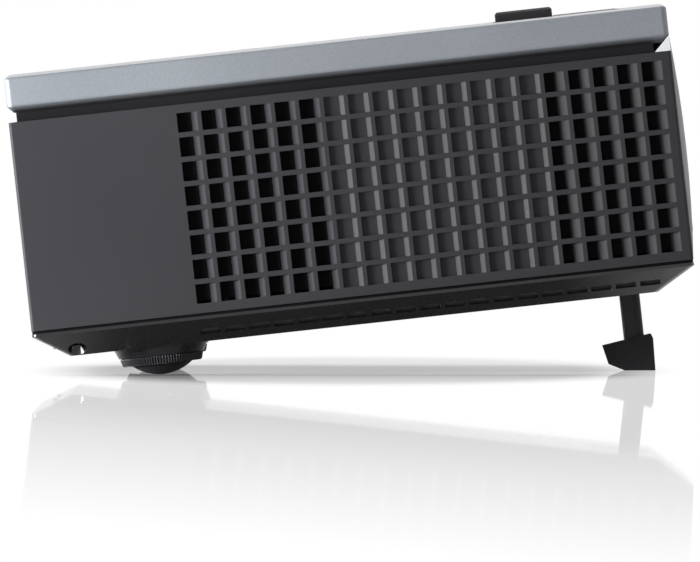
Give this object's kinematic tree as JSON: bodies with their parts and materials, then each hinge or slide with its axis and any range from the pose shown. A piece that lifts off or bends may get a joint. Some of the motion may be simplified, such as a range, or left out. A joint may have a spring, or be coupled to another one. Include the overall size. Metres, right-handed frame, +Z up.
{
  "type": "projector with disc player",
  "caption": "Box-shaped projector standing nose up on its front foot, with louvred side, zoom and focus rings and a tray-load disc drive in the far side.",
  "frame": {"origin": "middle of the plan, on the surface that the feet stand on", "axes": "+X to the disc drive's side, -Y to the lens end, +Z up from the table; the case is tilted nose up by 6.25 degrees about X"},
  "size_m": [0.2874, 0.2316, 0.1242],
  "materials": {
    "base_black": "semi-gloss black moulding",
    "panel_grey": "dark grey fine satin paint",
    "bezel_white": "pearl white satin",
    "window_red": "dark infrared filter",
    "neck_black": "black matte",
    "lid_silver": "silver metallic satin paint",
    "light_pipe": "clear light pipe",
    "lens_black": "black",
    "lens_glass": "coated glass",
    "ring_black": "dark grey rubberised",
    "foot_black": "black moulding",
    "foot_rubber": "black rubber",
    "inner_plastic": "black moulding",
    "cast_metal": "die-cast",
    "mirror_glass": "mirror coated glass",
    "wheel_glass": "clear glass",
    "steel": "zinc plated sheet",
    "board_green": "green circuit board",
    "heatsink_metal": "extruded",
    "fan_plastic": "black moulding",
    "tray_plastic": "black moulding",
    "key_silver": "silver painted keys"
  },
  "bodies": {
    "case": {"bottom_cover": "base_black", "right_side_panel": "panel_grey", "left_side_panel": "panel_grey", "rear_panel": "panel_grey", "front_bezel": "bezel_white", "infrared_window": "window_red", "upper_frame": "neck_black", "top_cover": "lid_silver", "keypad_plate": "panel_grey", "indicator_lights": "light_pipe", "lens_barrel": "lens_black", "front_lens": "lens_glass", "elevator_guide": "inner_plastic", "optical_engine_housing": "cast_metal", "light_tunnel": "mirror_glass", "color_wheel_motor": "steel", "imager_board": "board_green", "imager_heatsink": "heatsink_metal", "lamp_housing": "inner_plastic", "lamp_reflector": "mirror_glass", "lamp_burner": "wheel_glass", "lamp_door": "base_black", "exhaust_fan_frame": "fan_plastic", "speakers": "inner_plastic", "main_board": "board_green", "rear_connectors": "steel", "power_inlet": "inner_plastic", "power_supply": "board_green", "lamp_ballast": "steel", "drive_case": "steel", "drive_top_plate": "steel", "case_screws": "steel"},
    "tray": {"disc_tray": "tray_plastic", "tray_bezel": "panel_grey", "guide_rods": "steel", "spindle_motor": "steel"},
    "turntable": {"turntable": "tray_plastic"},
    "sled": {"pickup_sled": "cast_metal"},
    "screw": {"lead_screw": "steel"},
    "eject": {"eject_button": "panel_grey"},
    "zoom": {"zoom_ring": "ring_black"},
    "focus": {"focus_ring": "ring_black"},
    "front_foot": {"elevator_post": "foot_black", "elevator_pad": "foot_rubber"},
    "release": {"elevator_button": "base_black"},
    "right_pad": {"right_foot_pad": "foot_rubber"},
    "right_wheel": {"right_foot_wheel": "foot_black"},
    "left_pad": {"left_foot_pad": "foot_rubber"},
    "left_wheel": {"left_foot_wheel": "foot_black"},
    "fan": {"exhaust_fan_rotor": "fan_plastic"},
    "filter_wheel": {"color_wheel": "wheel_glass"},
    "power_key": {"power_button": "key_silver"},
    "source_key": {"source_button": "key_silver"},
    "menu_key": {"menu_button": "key_silver"},
    "play_key": {"play_button": "key_silver"},
    "enter_key": {"enter_button": "key_silver"},
    "right_key": {"right_button": "key_silver"},
    "up_key": {"up_button": "key_silver"},
    "left_key": {"left_button": "key_silver"},
    "down_key": {"down_button": "key_silver"}
  },
  "joints": [
    {"name": "tray_slide", "type": "slide", "parent": "case", "child": "tray", "axis": [1, 0, 0], "range_m": [0, 0.118]},
    {"name": "turntable_spin", "type": "hinge", "parent": "tray", "child": "turntable", "pos_m": [0.0783, 0.02082, 0.07661], "axis": [0, 0.1089, 0.9941], "continuous": true},
    {"name": "screw_turn", "type": "hinge", "parent": "tray", "child": "screw", "pos_m": [0.0538, 0.03103, 0.07801], "axis": [-1, 0, 0], "range_deg": [0, 2761]},
    {"name": "sled_slide", "type": "slide", "parent": "tray", "child": "sled", "axis": [-1, 0, 0], "range_m": [0, 0.023]},
    {"name": "eject_press", "type": "slide", "parent": "tray", "child": "eject", "axis": [-1, 0, 0], "range_m": [0, 0.0008], "stiffness_N_per_m": 300, "springref_m": -0.0004},
    {"name": "zoom_turn", "type": "hinge", "parent": "case", "child": "zoom", "pos_m": [-0.0702, -0.07139, 0.0853], "axis": [0, -0.9941, 0.1089], "range_deg": [-17, 17]},
    {"name": "focus_turn", "type": "hinge", "parent": "case", "child": "focus", "pos_m": [-0.0702, -0.09246, 0.08761], "axis": [0, -0.9941, 0.1089], "range_deg": [-60, 60]},
    {"name": "front_foot_slide", "type": "slide", "parent": "case", "child": "front_foot", "axis": [0, 0.1089, 0.9941], "range_m": [0, 0.0167]},
    {"name": "release_press", "type": "slide", "parent": "case", "child": "release", "axis": [0, 0.9941, -0.1089], "range_m": [0, 0.0025], "stiffness_N_per_m": 600, "springref_m": -0.0005},
    {"name": "fan_spin", "type": "hinge", "parent": "case", "child": "fan", "pos_m": [-0.1407, 0.03175, 0.05791], "axis": [-1, 0, 0], "continuous": true},
    {"name": "filter_wheel_spin", "type": "hinge", "parent": "case", "child": "filter_wheel", "pos_m": [-0.0082, -0.01983, 0.06366], "axis": [1, 0, 0], "continuous": true},
    {"name": "right_wheel_turn", "type": "hinge", "parent": "right_pad", "child": "right_wheel", "pos_m": [-0.1137, 0.06312, 0.00357], "axis": [0, -0.1089, -0.9941], "range_deg": [0, 1081]},
    {"name": "right_pad_slide", "type": "slide", "parent": "case", "child": "right_pad", "axis": [0, -0.1089, -0.9941], "range_m": [0, 0.0045]},
    {"name": "left_wheel_turn", "type": "hinge", "parent": "left_pad", "child": "left_wheel", "pos_m": [0.1133, 0.06312, 0.00357], "axis": [0, -0.1089, -0.9941], "range_deg": [0, 1081]},
    {"name": "left_pad_slide", "type": "slide", "parent": "case", "child": "left_pad", "axis": [0, -0.1089, -0.9941], "range_m": [0, 0.0045]},
    {"name": "power_key_press", "type": "slide", "parent": "case", "child": "power_key", "axis": [0, -0.1089, -0.9941], "range_m": [0, 0.0008], "stiffness_N_per_m": 400, "springref_m": -0.0004},
    {"name": "source_key_press", "type": "slide", "parent": "case", "child": "source_key", "axis": [0, -0.1089, -0.9941], "range_m": [0, 0.0008], "stiffness_N_per_m": 400, "springref_m": -0.0004},
    {"name": "menu_key_press", "type": "slide", "parent": "case", "child": "menu_key", "axis": [0, -0.1089, -0.9941], "range_m": [0, 0.0008], "stiffness_N_per_m": 400, "springref_m": -0.0004},
    {"name": "play_key_press", "type": "slide", "parent": "case", "child": "play_key", "axis": [0, -0.1089, -0.9941], "range_m": [0, 0.0008], "stiffness_N_per_m": 400, "springref_m": -0.0004},
    {"name": "enter_key_press", "type": "slide", "parent": "case", "child": "enter_key", "axis": [0, -0.1089, -0.9941], "range_m": [0, 0.0008], "stiffness_N_per_m": 400, "springref_m": -0.0004},
    {"name": "right_key_press", "type": "slide", "parent": "case", "child": "right_key", "axis": [0, -0.1089, -0.9941], "range_m": [0, 0.0008], "stiffness_N_per_m": 400, "springref_m": -0.0004},
    {"name": "up_key_press", "type": "slide", "parent": "case", "child": "up_key", "axis": [0, -0.1089, -0.9941], "range_m": [0, 0.0008], "stiffness_N_per_m": 400, "springref_m": -0.0004},
    {"name": "left_key_press", "type": "slide", "parent": "case", "child": "left_key", "axis": [0, -0.1089, -0.9941], "range_m": [0, 0.0008], "stiffness_N_per_m": 400, "springref_m": -0.0004},
    {"name": "down_key_press", "type": "slide", "parent": "case", "child": "down_key", "axis": [0, -0.1089, -0.9941], "range_m": [0, 0.0008], "stiffness_N_per_m": 400, "springref_m": -0.0004}
  ],
  "couplings": [
    {"joint": "screw_turn", "follows": "sled_slide", "rad_per_m": 2094.4},
    {"joint": "right_wheel_turn", "follows": "right_pad_slide", "rad_per_m": 4188.8},
    {"joint": "left_wheel_turn", "follows": "left_pad_slide", "rad_per_m": 4188.8}
  ]
}
